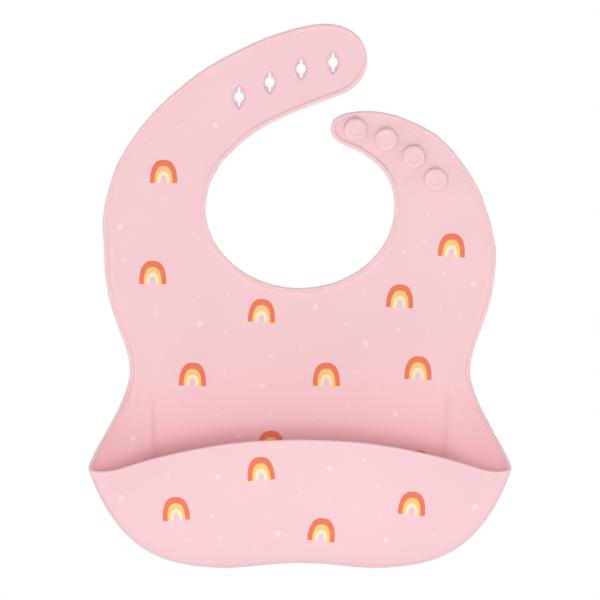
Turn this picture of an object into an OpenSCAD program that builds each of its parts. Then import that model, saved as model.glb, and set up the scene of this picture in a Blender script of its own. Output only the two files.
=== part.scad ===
// Baby bib moulded in silicone: an apron panel with a catch pocket, a long
// neck strap with four button holes and a short strap with four mushroom studs.
// Upright frame: +Z up, front faces -Y, flat back face in the plane y = 0,
// origin at the centre of the neck opening.

/* [Sheet] */
// Thickness of the moulded sheet
sheet_t = 2; // [1.6:0.1:2.2]
// Width of the rounded rim that runs round every edge
rim_w = 3; // [2.4:0.1:3.4]
// Thickness of the rim, back face to bead top
rim_t = 3; // [2.6:0.1:3.4]

/* [Neck] */
// Half width of the neck opening
neck_a = 52; // [50:0.5:54]
// Height of the neck opening below its centre
neck_b = 45; // [42:0.5:48]

/* [Pocket] */
// How far the pocket lip stands in front of the back face
pocket_reach = 50; // [42:1:54]
// How far the pocket corners stand in front of the back face
corner_reach = 26; // [22:1:28]
// Height of the lip at the middle of the pocket
lip_mid_z = -128; // [-132:1:-124]
// Lowest point of the pocket
pocket_low_z = -199; // [-203:1:-196]
// Rise of the pocket's bottom edge at the middle
pocket_rise = 3; // [0:0.5:5]
// Diameter of the rounded lip bead
lip_d = 2.4; // [2.2:0.1:3.2]

/* [Closure] */
// Diameter of each strap hole
hole_d = 5.2; // [4.8:0.1:5.8]
// Height of each hole with its two stretch slits
slit_h = 10.6; // [9:0.1:11.5]
// Diameter of a stud's head
head_d = 12.4; // [11:0.1:13]
// Thickness of a stud's head
head_t = 2; // [1.4:0.1:2.4]
// Diameter of a stud's stem
stem_d = 5; // [4:0.1:5.4]
// Length of a stud's stem from the strap to the head
stem_h = 2.2; // [2:0.1:2.8]

/* [Print] */
// Half width of a printed rainbow at its feet
rainbow_r = 7.5; // [6:0.1:8]
// Height of a printed rainbow
rainbow_h = 12.8; // [12:0.1:14]
// Thickness of the printed ink
ink_t = 0.2; // [0.15:0.05:0.3]

/* [Hidden] */

$fn = 48;
pink = [0.95, 0.78, 0.80];
rim_pink = [0.93, 0.74, 0.77];
orange = [0.95, 0.44, 0.31];
yellow = [1.00, 0.80, 0.43];
cream = [1.00, 0.96, 0.84];
lilac = [0.92, 0.78, 0.86];
white = [1.00, 0.97, 0.97];

// Living hinges: each bends about a line in the middle of the rim's thickness.
hinge_y = -rim_t / 2;
hinge_gap = 0.3;
hinge_clear = rim_t / 2 + hinge_gap;
// Stretch of each hinge line that lies in its strap's sheet.
long_root_hinge = [-107.4, -52.1];
short_root_hinge = [52.1, 101.9];
tip_hinge = [47, 91];
tip_angle = 128;
// The pocket front swings about a line along the bottom of the trough.
swing_y = -26;
swing_z = pocket_low_z + sheet_t;
swing_clear = 1;
wedge_angle = 24;
wedge_h = 24;

// Layout of the lower panel and trough.
join_z = -97;
flat_low_z = -172;
crease_x = 80;
front_x = 92;
shell_x = 112;
corner_x = 116.3;
corner_z = -142.5;
far = 400;

// Shape of the trough: the bottom edge falls off towards the corners and rises
// in the middle, and the walls curl forwards beyond the crease and the waist.
low_square = 5;
low_ease = 0.87;
rise_half = 44;
curl_z = join_z;
curl_power = 1.5;
wall_power = 1.2;
bend_max = 25;
foot_share = 0.92;
foot_rise = 0.6;
bend_reach = 0.6;

// Eye-shaped recess round each strap hole, with a thin web left in it.
eye_w = 7;
eye_h = 13.6;
slit_w = 1.8;
slit_end_w = 0.8;
web_t = 1.2;
// How much narrower a stud's head is at its underside and at its face.
head_under = 1.4;
head_face = 2;

// Edge outlines in the XZ plane, each one a smooth curve through these points.
side_edge = [
    [107.8, -24], [107.3, -36], [105, -51], [101, -64], [96.5, -76], [93.8, -87],
    [94.4, -97], [99, -109], [106, -122], [113, -134.5], [corner_x, corner_z]
];
left_top = [[106, 6], [107.5, 0], [108.6, -10]];
right_top = [[99.5, 6], [102, 0], [105, -10]];
long_edge = [
    [-108.6, -10], [-107.5, 0], [-105, 10], [-100.5, 23], [-92.5, 36.5], [-82.5, 49.5],
    [-69, 62.5], [-51.5, 76], [-28, 88.5], [-8.5, 96], [9, 100], [21, 99.5], [30.5, 95],
    [35.5, 88], [37, 80.5], [35.5, 73], [31, 66.5], [24, 61.8], [8.5, 56], [-7.5, 49.5],
    [-20.5, 43], [-30, 36.5], [-37, 30], [-43.5, 23], [-49.5, 12], [-52, 0], [-50.7, -10]
];
short_edge = [
    [50.7, -10], [52, 0], [50.8, 9], [47.5, 16.5], [42, 23], [33, 29.5], [24.5, 33.3],
    [19, 37], [16.8, 42.5], [19.5, 48.5], [28, 51.6], [41, 52.2], [54, 49.5], [68, 43.5],
    [79, 36], [90, 23], [98, 10], [102, 0], [105, -10]
];
// Height of the pocket's lip and of the gusset's top edge across the width.
lip_line = [
    [0, lip_mid_z], [20, lip_mid_z - 0.6], [40, lip_mid_z - 2.4], [60, lip_mid_z - 5.8],
    [80, lip_mid_z - 10.4], [93, lip_mid_z - 14.3], [104, -145.3], [112, -145],
    [corner_x, corner_z]
];
gusset_line = [
    [80, join_z], [90, join_z], [94.4, -109], [101.3, -122], [108.3, -134.5], [112, -141]
];

eyelets = [[-33.5, 60], [-16.6, 68], [0.6, 75.5], [18.2, 79]];
studs = [[30.5, 42], [47.5, 36.5], [62.5, 27], [74.5, 14.5]];

// Printed motifs: [x, z, turn] for rainbows, [x, z] for stars and dots.
panel_rainbows = [
    [-81, -36.5, 0], [-21, -57.5, -3], [55, -49.5, -3], [83.5, -21.5, -4], [-59, -92.5, -2],
    [14.5, -92.5, 0], [65, -89, -2], [-16, -130, 0], [65, -142, 0]
];
strap_rainbows = [[-75, 19, 0]];
pocket_rainbows = [[-21.5, -144, 4], [-68, -166, 4], [12, -177.5, -6], [61.5, -163, -6]];
panel_star_at = [
    [-99, -11.5], [95.5, -43], [-55, -64.5], [-21, -99], [8.5, -55.5], [36, -75.5],
    [52.5, -114.5], [-34, -127]
];
panel_dot_at = [
    [-59, -15], [-96.5, -29.5], [-55.5, -49.5], [-40, -49], [70.5, -5], [57, -25.5],
    [68, -19], [79, -37], [35, -46.5], [-79, -58.5], [-40.5, -70], [-68, -73.5],
    [-16.5, -82.5], [-42, -92], [-4, -108], [-61, -107], [-46, -115], [-16, -115],
    [-66, -119], [-56.5, -131], [25.5, -65], [77.5, -55.5], [88, -61], [53.5, -68],
    [71, -70], [0.5, -77.5], [31.5, -91.5], [43, -101], [26.5, -109], [10.5, -116],
    [71.5, -117], [23, -128], [38.5, -126], [59, -130.5]
];
strap_star_at = [[-46.5, 44.5]];
strap_dot_at = [[-82, 34], [-67.5, 43.5], [-73.5, 4]];
pocket_star_at = [
    [-45, -148.5], [-98, -160.5], [-12, -179.5], [16.5, -144], [96, -165], [47, -183.5]
];
pocket_dot_at = [
    [-10.5, -132.5], [-72, -147], [-34, -161.5], [-48, -170], [-18.5, -169], [-43.5, -182],
    [-60.5, -183], [-25.5, -187], [35, -139], [42.5, -153.5], [16, -162], [31.5, -166],
    [44, -170.5], [73.5, -180], [23, -187], [0.5, -157.5]
];
star_r = 2.1;
star_inner = 0.42;
dot_r = 0.7;
// Width and height of each colour of a rainbow, as shares of the whole, and how
// square the shoulders of its arch are (2 would be half an ellipse).
band_shares = [[1, 1], [0.65, 0.73], [0.45, 0.49], [0.21, 0.32]];
shoulder = 2.5;
arch_step = 7.5;
band_colors = [orange, yellow, cream, lilac];

// A smooth curve through the points p, with n steps between each pair.
function blend4(a, b, c, d, t) =
    0.5 * (2 * b + (c - a) * t + (2 * a - 5 * b + 4 * c - d) * t * t
           + (3 * b - a - 3 * c + d) * t * t * t);
function curve(p, n) = [
    for (i = [0 : len(p) - 2])
        for (k = [0 : n - 1])
            blend4(p[max(i - 1, 0)], p[i], p[i + 1], p[min(i + 2, len(p) - 1)], k / n),
    p[len(p) - 1]
];
// The same points moved sideways by d, to the left of the direction of travel.
function side_step(p, d) = [
    for (i = [0 : len(p) - 1])
        let (t = p[min(i + 1, len(p) - 1)] - p[max(i - 1, 0)])
            p[i] + d * [-t[1], t[0]] / norm(t)
];
function reversed(p) = [for (i = [len(p) - 1 : -1 : 0]) p[i]];
function flipped(p) = [for (q = p) [-q[0], q[1]]];
function unit(v) = v / norm(v);
function mix(a, b, t) = a + (b - a) * t;

// Trough cross-section at |x|: points [y, z] of its outer face, from the back,
// under the bottom and up to the lip.
function drop(x) = max(1 - pow(abs(x) / corner_x, low_square), 0.001);
function rise(x) = abs(x) < rise_half ? pow(1 - pow(x / rise_half, 2), 2) : 0;
function low_z(x) =
    corner_z + (pocket_low_z - corner_z) * pow(drop(x), low_ease) + pocket_rise * rise(x);
function lip_z(x) = lookup(abs(x), curve(lip_line, line_steps));
function lip_y(x) =
    mix(-corner_reach, -pocket_reach, sqrt(max(1 - pow(x / corner_x, 2), 0)));
function top_z(x) =
    abs(x) < crease_x ? join_z : lookup(abs(x), curve(gusset_line, line_steps));
function curl_y(z) =
    z > curl_z ? 0 : -corner_reach * pow((curl_z - z) / (curl_z - corner_z), curl_power);
function wall_y(x) =
    abs(x) < crease_x ? 0
    : -corner_reach * pow((abs(x) - crease_x) / (corner_x - crease_x), wall_power);
function bend_r(x) = min(bend_max, (top_z(x) - low_z(x)) / 2);
// A quarter turn from a to b that leaves a along z and reaches b along y.
function quarter(a, b, t) =
    let (c = [a[0], mix(a[1], b[1], bend_reach)], d = [mix(a[0], b[0], bend_reach), b[1]])
        pow(1 - t, 3) * a + 3 * t * pow(1 - t, 2) * c + 3 * t * t * (1 - t) * d + t * t * t * b;
line_steps = 4;
wall_steps = 3;
turn_steps = 7;
function section(x) =
    let (
        top = [curl_y(top_z(x)), top_z(x)],
        knee = [wall_y(x), low_z(x) + bend_r(x)],
        low = [min(swing_y, wall_y(x)), low_z(x)],
        lip = [lip_y(x), lip_z(x)],
        foot_h = min(bend_max, foot_rise * (lip_z(x) - low_z(x))),
        foot = [mix(low[0], lip[0], foot_share), low_z(x) + foot_h]
    ) [
        for (k = [0 : wall_steps - 1]) mix(top, knee, k / wall_steps),
        for (k = [0 : turn_steps - 1]) quarter(knee, low, k / turn_steps),
        for (k = [0 : turn_steps - 1]) quarter(foot, low, 1 - k / turn_steps),
        for (k = [0 : wall_steps]) mix(foot, lip, k / wall_steps)
    ];
// Moves a section inwards by d, at right angles to its own line.
function inward(s, d) = [
    for (i = [0 : len(s) - 1])
        let (t = unit(s[min(i + 1, len(s) - 1)] - s[max(i - 1, 0)]))
            s[i] + d * [t[1], -t[0]]
];
half_stations = [
    0, 14, 28, 42, 56, 68, 76, crease_x, 85, 90, 94.4, 98, 101.3, 105, 108.3, 110.5, shell_x
];
stations = concat([for (k = [len(half_stations) - 1 : -1 : 1]) -half_stations[k]], half_stations);
function placed(x, s) = [for (q = s) [x, q[0], q[1]]];
function placed_mix(x, a, b, t) = concat([x], mix(a, b, t));

// A closed shell between two grids of points that have the same size.
module shell(outer, inner) {
    rows = len(outer);
    cols = len(outer[0]);
    size = rows * cols;
    function at(i, j, side) = side * size + i * cols + j;
    grid = [for (side = [0, 1]) for (r = side == 0 ? outer : inner) for (q = r) q];
    faces = [
        for (i = [0 : rows - 2]) for (j = [0 : cols - 2])
            each [
                [at(i, j, 0), at(i + 1, j + 1, 0), at(i + 1, j, 0)],
                [at(i, j, 0), at(i, j + 1, 0), at(i + 1, j + 1, 0)],
                [at(i, j, 1), at(i + 1, j, 1), at(i + 1, j + 1, 1)],
                [at(i, j, 1), at(i + 1, j + 1, 1), at(i, j + 1, 1)]
            ],
        for (i = [0 : rows - 2])
            each [
                [at(i, 0, 0), at(i + 1, 0, 0), at(i + 1, 0, 1), at(i, 0, 1)],
                [at(i, cols - 1, 0), at(i, cols - 1, 1), at(i + 1, cols - 1, 1), at(i + 1, cols - 1, 0)]
            ],
        for (j = [0 : cols - 2])
            each [
                [at(0, j, 0), at(0, j, 1), at(0, j + 1, 1), at(0, j + 1, 0)],
                [at(rows - 1, j, 0), at(rows - 1, j + 1, 0), at(rows - 1, j + 1, 1), at(rows - 1, j, 1)]
            ]
    ];
    polyhedron(grid, faces, convexity = 10);
}
// Sweeps rings of points, one ring per step, into a closed bar.
module bar(rings) {
    n = len(rings[0]);
    last = len(rings) - 1;
    faces = [
        for (i = [0 : last - 1]) for (j = [0 : n - 1])
            let (k = (j + 1) % n)
                each [
                    [i * n + j, i * n + k, (i + 1) * n + k],
                    [i * n + j, (i + 1) * n + k, (i + 1) * n + j]
                ],
        [for (j = [n - 1 : -1 : 0]) j],
        [for (j = [0 : n - 1]) last * n + j]
    ];
    polyhedron([for (r = rings) each r], faces, convexity = 10);
}
// Stands a flat drawing in XZ upright, from the back face to depth t in front.
module upright(t) {
    rotate([90, 0, 0]) linear_extrude(t) children();
}
module raised(from, t) {
    translate([0, -from, 0]) upright(t) children();
}
// Keeps what lies above (or, with side = -1, below) a line through the origin
// at the given angle, moved outwards by step.
module beyond(angle, step, side = 1) {
    rotate(angle) translate([-far, side > 0 ? step : -far - step]) square([2 * far, far]);
}
// A rounded hinge edge along a line at that angle: the half of a rod that lies
// below the line or, with side = -1, above it.
module hinge_edge(angle, reach, side = 1) {
    length = reach[1] - reach[0];
    rotate([0, -angle, 0]) translate([reach[0], hinge_y, 0]) rotate([0, 90, 0])
        intersection() {
            cylinder(h = length, r = rim_t / 2);
            translate([side > 0 ? 0 : -rim_t, -rim_t, 0]) cube([rim_t, 2 * rim_t, length]);
        }
}

// Flat outlines.
curve_steps = 5;
long_outline = curve(long_edge, curve_steps);
short_outline = curve(short_edge, curve_steps);
right_side = curve(concat(right_top, side_edge), curve_steps);
left_side = curve(concat(left_top, side_edge), curve_steps);
module long_sheet() {
    polygon(side_step(long_outline, -rim_w));
}
module long_band() {
    difference() {
        polygon(long_outline);
        long_sheet();
    }
}
module short_sheet() {
    polygon(side_step(short_outline, -rim_w));
}
module short_band() {
    difference() {
        polygon(short_outline);
        short_sheet();
    }
}
module eye_shape(w, h) {
    r = (h * h + w * w) / (4 * w);
    intersection() {
        translate([r - w / 2, 0]) circle(r = r, $fn = 96);
        translate([w / 2 - r, 0]) circle(r = r, $fn = 96);
    }
}
module eyes() {
    for (p = eyelets) translate(p) eye_shape(eye_w, eye_h);
}

// Root body.
module bib_panel() {
    half = [for (s = [left_side, right_side]) side_step(s, -rim_w)];
    color(pink) upright(sheet_t) difference() {
        union() {
            intersection() {
                polygon(concat(flipped(half[0]), reversed(half[1])));
                translate([-far, join_z]) square([2 * far, -join_z - hinge_clear]);
            }
            translate([-crease_x, flat_low_z]) square([2 * crease_x, join_z - flat_low_z]);
        }
        scale([neck_a + rim_w, neck_b + rim_w]) circle(r = 1, $fn = 120);
    }
}
module neck_rim() {
    color(rim_pink) upright(rim_t) intersection() {
        difference() {
            scale([neck_a + rim_w, neck_b + rim_w]) circle(r = 1, $fn = 120);
            scale([neck_a, neck_b]) circle(r = 1, $fn = 120);
        }
        beyond(0, hinge_clear, -1);
    }
}
// Side rim: a square bead that leaves the back plane below the waist and curls
// forwards to the pocket corner.
module side_rim(edge) {
    path = [for (q = edge) if (q[1] < -hinge_clear) [q[0], curl_y(q[1]), q[1]]];
    start = [mix(edge[curve_steps][0], edge[curve_steps + 1][0], 0.5), 0, -hinge_clear];
    all = concat([start], path);
    rings = [
        for (i = [0 : len(all) - 1])
            let (
                t = unit(all[min(i + 1, len(all) - 1)] - all[max(i - 1, 0)]),
                aim = [crease_x - all[i][0], -all[i][1], 0],
                in = i == 0 ? [-1, 0, 0] : unit(aim - (aim * t) * t),
                front = unit(cross(in, t))
            ) [
                all[i], all[i] + rim_w * in, all[i] + rim_w * in + rim_t * front,
                all[i] + rim_t * front
            ]
    ];
    bar(rings);
}
module right_side_rim() {
    color(rim_pink) side_rim(right_side);
}
module left_side_rim() {
    color(rim_pink) mirror([1, 0, 0]) side_rim(left_side);
}
module trough() {
    outer = [for (x = stations) placed(x, section(x))];
    inner = [for (x = stations) placed(x, inward(section(x), sheet_t))];
    shell(outer, inner);
}
// Room that the swinging front needs, with a wedge behind its hinge line.
module swing_room() {
    translate([-front_x, swing_y, swing_z]) {
        translate([0, -far, -far / 2]) cube([2 * front_x, far + swing_clear, far]);
        rotate([-wedge_angle, 0, 0]) translate([0, -wedge_h, 0])
            cube([2 * front_x, wedge_h + swing_clear, wedge_h]);
    }
}
// Rounded solid end that closes the trough where the rim meets the lip.
module pocket_corner() {
    end = section(shell_x);
    heart = [-corner_reach, corner_z - 3];
    reach = corner_x - shell_x;
    bar([
        for (a = [-6 : 15 : 75])
            [for (p = end) placed_mix(shell_x + reach * sin(a), heart, p, cos(a))]
    ]);
}
module gusset() {
    difference() {
        union() {
            intersection() {
                trough();
                translate([crease_x, -far / 2, join_z - far]) cube([far, far, far]);
            }
            pocket_corner();
        }
        swing_room();
        side_rim(right_side);
    }
}
module right_gusset() {
    color(pink) gusset();
}
module left_gusset() {
    color(pink) mirror([1, 0, 0]) gusset();
}
module pocket_floor() {
    color(pink) difference() {
        intersection() {
            trough();
            translate([-crease_x, -far / 2, flat_low_z - far]) cube([2 * crease_x, far, far]);
        }
        swing_room();
    }
}

// Swinging front of the pocket.
module front_room() {
    side = front_x - hinge_gap;
    translate([-side, swing_y - far, swing_z - far / 2]) cube([2 * side, far, far]);
}
module pocket_front() {
    color(pink) intersection() {
        trough();
        front_room();
    }
}
module pocket_lip() {
    sides = 8;
    lip_steps = 14;
    side = front_x - hinge_gap;
    rings = [
        for (k = [-lip_steps : lip_steps])
            let (x = side * k / lip_steps, c = [x, lip_y(x) + sheet_t / 2, lip_z(x) + lip_d / 2])
                [for (a = [0 : 360 / sides : 359]) c + lip_d / 2 * [0, cos(a), -sin(a)]]
    ];
    color(rim_pink) bar(rings);
}

// Long strap.
module long_strap_root() {
    color(pink) {
        upright(sheet_t) intersection() {
            long_sheet();
            beyond(0, 0);
            beyond(tip_angle, hinge_clear);
        }
        hinge_edge(0, long_root_hinge);
    }
}
module long_strap_root_rim() {
    color(rim_pink) upright(rim_t) intersection() {
        long_band();
        beyond(0, 0);
        beyond(tip_angle, hinge_clear);
    }
}
module long_strap_tip() {
    color(pink) {
        upright(sheet_t) difference() {
            intersection() {
                long_sheet();
                beyond(tip_angle, 0, -1);
            }
            eyes();
        }
        hinge_edge(tip_angle, tip_hinge, -1);
    }
}
module long_strap_tip_rim() {
    color(rim_pink) upright(rim_t) intersection() {
        long_band();
        beyond(tip_angle, 0, -1);
    }
}
// Thin web that fills one eye-shaped recess and carries the button hole.
module eyelet(n) {
    p = eyelets[n - 1];
    color(rim_pink) translate([p[0], 0, p[1]]) raised((sheet_t - web_t) / 2, web_t)
        difference() {
            eye_shape(eye_w, eye_h);
            circle(d = hole_d);
            for (side = [-1, 1])
                polygon([
                    [-slit_w / 2, 0], [slit_w / 2, 0],
                    [slit_end_w / 2, side * slit_h / 2], [-slit_end_w / 2, side * slit_h / 2]
                ]);
        }
}

// Short strap.
module short_strap() {
    color(pink) {
        upright(sheet_t) intersection() {
            short_sheet();
            beyond(0, 0);
        }
        hinge_edge(0, short_root_hinge);
    }
}
module short_strap_rim() {
    color(rim_pink) upright(rim_t) intersection() {
        short_band();
        beyond(0, 0);
    }
}
module stud(n) {
    p = studs[n - 1];
    color(rim_pink) translate([p[0], -sheet_t, p[1]]) rotate([90, 0, 0]) {
        cylinder(h = stem_h, d = stem_d);
        translate([0, 0, stem_h]) {
            cylinder(h = head_t / 2, d1 = head_d - head_under, d2 = head_d);
            translate([0, 0, head_t / 2])
                cylinder(h = head_t / 2, d1 = head_d, d2 = head_d - head_face);
        }
    }
}

// Printed motifs.
module arch(n) {
    w = rainbow_r * band_shares[n][0];
    h = rainbow_h * band_shares[n][1];
    p = 2 / shoulder;
    polygon([
        for (a = [0 : arch_step : 180])
            [w * sign(cos(a)) * pow(abs(cos(a)), p), h * pow(sin(a), p)]
    ]);
}
module band(n) {
    translate([0, -rainbow_h / 2]) difference() {
        arch(n);
        if (n + 1 < len(band_shares)) arch(n + 1);
    }
}
module rainbows(places, n) {
    for (p = places) translate([p[0], p[1]]) rotate(p[2]) band(n);
}
module star() {
    function corner_r(k) = k % 2 == 0 ? star_r : star_r * star_inner;
    polygon([for (k = [0 : 9]) corner_r(k) * [sin(36 * k), cos(36 * k)]]);
}
module sprinkles(star_at, dot_at) {
    for (p = star_at) translate(p) star();
    for (p = dot_at) translate(p) circle(r = dot_r, $fn = 16);
}
module flat_print() {
    raised(sheet_t, ink_t) children();
}
// Ink on the pocket follows the curve of its front.
module pocket_print() {
    skip = wall_steps + turn_steps + 2;
    function tail(s) = [for (i = [skip : len(s) - 1]) s[i]];
    $fn = 24;
    intersection() {
        shell(
            [for (x = stations) placed(x, tail(inward(section(x), -ink_t)))],
            [for (x = stations) placed(x, tail(section(x)))]
        );
        upright(far) children();
        front_room();
    }
}
module panel_arc(n) {
    color(band_colors[n]) flat_print() rainbows(panel_rainbows, n);
}
module panel_stars() {
    color(white) flat_print() sprinkles(panel_star_at, panel_dot_at);
}
module strap_arc(n) {
    color(band_colors[n]) flat_print() rainbows(strap_rainbows, n);
}
module strap_stars() {
    color(white) flat_print() sprinkles(strap_star_at, strap_dot_at);
}
module pocket_arc(n) {
    color(band_colors[n]) pocket_print() rainbows(pocket_rainbows, n);
}
module pocket_stars() {
    color(white) pocket_print() sprinkles(pocket_star_at, pocket_dot_at);
}

bib_panel();
neck_rim();
left_side_rim();
right_side_rim();
left_gusset();
right_gusset();
pocket_floor();
pocket_front();
pocket_lip();
long_strap_root();
long_strap_root_rim();
long_strap_tip();
long_strap_tip_rim();
eyelet(1);  // eyelet_1
eyelet(2);  // eyelet_2
eyelet(3);  // eyelet_3
eyelet(4);  // eyelet_4
short_strap();
short_strap_rim();
stud(1);  // stud_1
stud(2);  // stud_2
stud(3);  // stud_3
stud(4);  // stud_4
panel_arc(0);  // panel_arc_orange
panel_arc(1);  // panel_arc_yellow
panel_arc(2);  // panel_arc_cream
panel_arc(3);  // panel_arc_lilac
panel_stars();
strap_arc(0);  // strap_arc_orange
strap_arc(1);  // strap_arc_yellow
strap_arc(2);  // strap_arc_cream
strap_arc(3);  // strap_arc_lilac
strap_stars();
pocket_arc(0);  // pocket_arc_orange
pocket_arc(1);  // pocket_arc_yellow
pocket_arc(2);  // pocket_arc_cream
pocket_arc(3);  // pocket_arc_lilac
pocket_stars();
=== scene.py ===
import math

import bpy
import numpy as np
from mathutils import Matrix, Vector, geometry


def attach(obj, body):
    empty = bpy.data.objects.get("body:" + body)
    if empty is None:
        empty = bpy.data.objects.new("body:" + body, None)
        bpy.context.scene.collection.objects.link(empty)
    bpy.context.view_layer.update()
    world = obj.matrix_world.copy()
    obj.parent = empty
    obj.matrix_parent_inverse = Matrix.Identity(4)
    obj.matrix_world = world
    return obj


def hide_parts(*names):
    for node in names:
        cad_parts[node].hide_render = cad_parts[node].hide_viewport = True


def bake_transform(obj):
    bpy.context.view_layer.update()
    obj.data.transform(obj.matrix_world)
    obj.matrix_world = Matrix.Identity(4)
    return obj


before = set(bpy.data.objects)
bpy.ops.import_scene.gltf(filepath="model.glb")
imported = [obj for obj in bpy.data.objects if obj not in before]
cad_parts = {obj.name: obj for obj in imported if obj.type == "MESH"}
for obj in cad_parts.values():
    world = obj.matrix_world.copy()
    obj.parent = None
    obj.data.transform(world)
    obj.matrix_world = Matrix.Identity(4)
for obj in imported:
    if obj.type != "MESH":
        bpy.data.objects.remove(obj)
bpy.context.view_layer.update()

MM = 0.001

# ---------------------------------------------------------------- dimensions
SHEET = 2.0                 # thickness of the sheet
BEAD = 3.0                  # diameter of the rim bead
TUCK = 1.2                  # how far the sheet's edge lies inside the rim's edge
NECK_A, NECK_B = 52.0, 45.0  # half width and depth of the neck opening
TIP_ANGLE = math.radians(128)    # direction of the line where the long strap's tip bends
POCKET_REACH = 50.0         # how far the lip stands out in the middle
CORNER_REACH = 26.0         # and at the pocket's corners
CORNER = (116.3, -142.5)    # outermost point of the pocket, as (x, z)
LIP_MID = -128.0            # height of the lip in the middle
LOW = -199.0                # height of the lowest line of the pocket
LOW_RISE = 3.0              # how far that line rises in the middle
SWING_Y = -26.0             # depth of that line
CREASE = 80.0               # half the distance between the pocket's two creases
JOIN_Z = -97.0              # the waist, below which the sides curl forward
LIP_BEAD = 2.3              # diameter of the bead round the pocket's mouth
TROUGH_END = 115.0          # the sheet ends inside the bead at the pocket's corner
CORNER_HEART = (-27.6, -143.7)   # where it is gathered there, as (y, z)
CAP_DEPTH = 0.9             # depth of its rounded end
FOLD_RIB, FOLD_GROOVE = 1.0, 0.35    # height of the soft fold beside a crease, and its depth
FLOOR_BEND = 25.0           # height over which the back turns under
PLEAT = 16.0                # width over which the back's section becomes the side wall's

# Where the bending stretches begin and end, and the seams of the pieces.
SEAM_Z = -22.0
TIP_SEAM = 17.0

# Distances between neighbouring points.
EDGE_STEP = 2.5             # along the edge of a sheet
SEAM_STEP = 3.0             # along a seam
BEAD_STEP = 1.6             # along a bead
BROAD, MEDIUM, FINE = 5.0, 3.0, 1.3      # inside a sheet; fine where a print bends with it
INSIDE_MARGIN = 0.6         # least distance from the edge, in spacings

# Edge outlines, the same points as the frame's design.
SIDE = [(107.8, -24), (107.3, -36), (105, -51), (101, -64), (96.5, -76), (93.8, -87),
        (94.4, -97), (99, -109), (106, -122), (113, -134.5), CORNER]
LONG = [(-107.5, 0), (-105, 10), (-100.5, 23), (-92.5, 36.5), (-82.5, 49.5), (-69, 62.5),
        (-51.5, 76), (-28, 88.5), (-8.5, 96), (9, 100), (21, 99.5), (30.5, 95), (35.5, 88),
        (37, 80.5), (35.5, 73), (31, 66.5), (24, 61.8), (8.5, 56), (-7.5, 49.5),
        (-20.5, 43), (-30, 36.5), (-37, 30), (-43.5, 23), (-49.5, 12), (-52, 0)]
SHORT = [(102, 0), (98, 10), (90, 23), (79, 36), (68, 43.5), (54, 49.5), (41, 52.2),
         (28, 51.6), (19.5, 48.5), (16.8, 42.5), (19, 37), (24.5, 33.3), (33, 29.5),
         (42, 23), (47.5, 16.5), (50.8, 9), (52, 0)]
LIP_LINE = [(0, 0), (20, -0.6), (40, -2.4), (60, -5.8), (80, -10.4), (93, -14.3),
            (104, -17.3), (112, -17), (CORNER[0], CORNER[1] - LIP_MID)]

EYELETS = [(-33.5, 60), (-16.6, 68), (0.6, 75.5), (18.2, 79)]
STUDS = [(30.5, 42), (47.5, 36.5), (62.5, 27), (74.5, 14.5)]

# Printed motifs: (x, z, turn) for rainbows, (x, z) for stars and dots.
PANEL_RAINBOWS = [(-81, -36.5, 0), (-21, -57.5, -3), (55, -49.5, -3), (83.5, -21.5, -4),
                  (-59, -92.5, -2), (14.5, -92.5, 0), (65, -89, -2), (-16, -130, 0),
                  (65, -140.8, 0)]
STRAP_RAINBOWS = [(-75, 19, 0)]
POCKET_RAINBOWS = [(-21.5, -144, 4), (-68, -166, 4), (12, -177.5, -6), (61.5, -163, -6)]
PANEL_STARS = [(-99, -11.5), (95.5, -43), (-55, -64.5), (-21, -99), (8.5, -55.5),
               (36, -75.5), (52.5, -114.5), (-34, -127), (-91.7, -128)]
PANEL_DOTS = [(-59, -15), (-96.5, -29.5), (-55.5, -49.5), (-40, -49), (70.5, -5),
              (57, -25.5), (68, -19), (79, -37), (35, -46.5), (-79, -58.5), (-40.5, -70),
              (-68, -73.5), (-16.5, -82.5), (-42, -92), (-4, -108), (-61, -107), (-46, -115),
              (-16, -115), (-66, -119), (-56.5, -131), (25.5, -65), (77.5, -55.5), (88, -61),
              (53.5, -68), (71, -70), (0.5, -77.5), (31.5, -91.5), (43, -101), (26.5, -109),
              (10.5, -116), (71.5, -117), (23, -128), (38.5, -126), (59, -130.5),
              (-79, -112), (83.5, -102.5), (88, -125)]
STRAP_STARS = [(-46.5, 44.5)]
STRAP_DOTS = [(-82, 34), (-67.5, 43.5), (-73.5, 4)]
POCKET_STARS = [(-45, -148.5), (-98, -160.5), (-12, -179.5), (16.5, -144), (96, -165),
                (47, -183.5)]
POCKET_DOTS = [(-10.5, -132.5), (-72, -147), (-34, -161.5), (-48, -170), (-18.5, -169),
               (-43.5, -182), (-60.5, -183), (-25.5, -187), (35, -139), (42.5, -153.5),
               (16, -162), (31.5, -166), (44, -170.5), (73.5, -180), (23, -187), (0.5, -157.5)]


# ------------------------------------------------------------------- curves
def smooth(points, steps):
    """A Catmull-Rom curve through the points, with that many steps between two of them."""
    p = np.array(points, float)
    out = []
    for i in range(len(p) - 1):
        a, b, c, d = p[max(i - 1, 0)], p[i], p[i + 1], p[min(i + 2, len(p) - 1)]
        for t in np.arange(steps) / steps:
            out.append(0.5 * (2 * b + (c - a) * t + (2 * a - 5 * b + 4 * c - d) * t ** 2
                              + (3 * b - a - 3 * c + d) * t ** 3))
    return np.array(out + [p[-1]])


def smoothstep(t):
    t = np.clip(t, 0, 1)
    return t * t * (3 - 2 * t)


def neck_arc(side):
    """The lower half of the neck opening from z = 0 to its lowest point, on one side."""
    a = np.radians(np.arange(3, 91, 3))
    return [(side * NECK_A * math.cos(t), -NECK_B * math.sin(t)) for t in a]


def spaced(path, step):
    """The path with points at even distances of about step."""
    path = np.array(path, float)
    length = np.concatenate([[0], np.cumsum(np.linalg.norm(np.diff(path, axis=0), axis=1))])
    count = max(2, round(length[-1] / step) + 1)
    at = np.linspace(0, length[-1], count)
    return np.stack([np.interp(at, length, path[:, k]) for k in range(path.shape[1])], 1)


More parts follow.
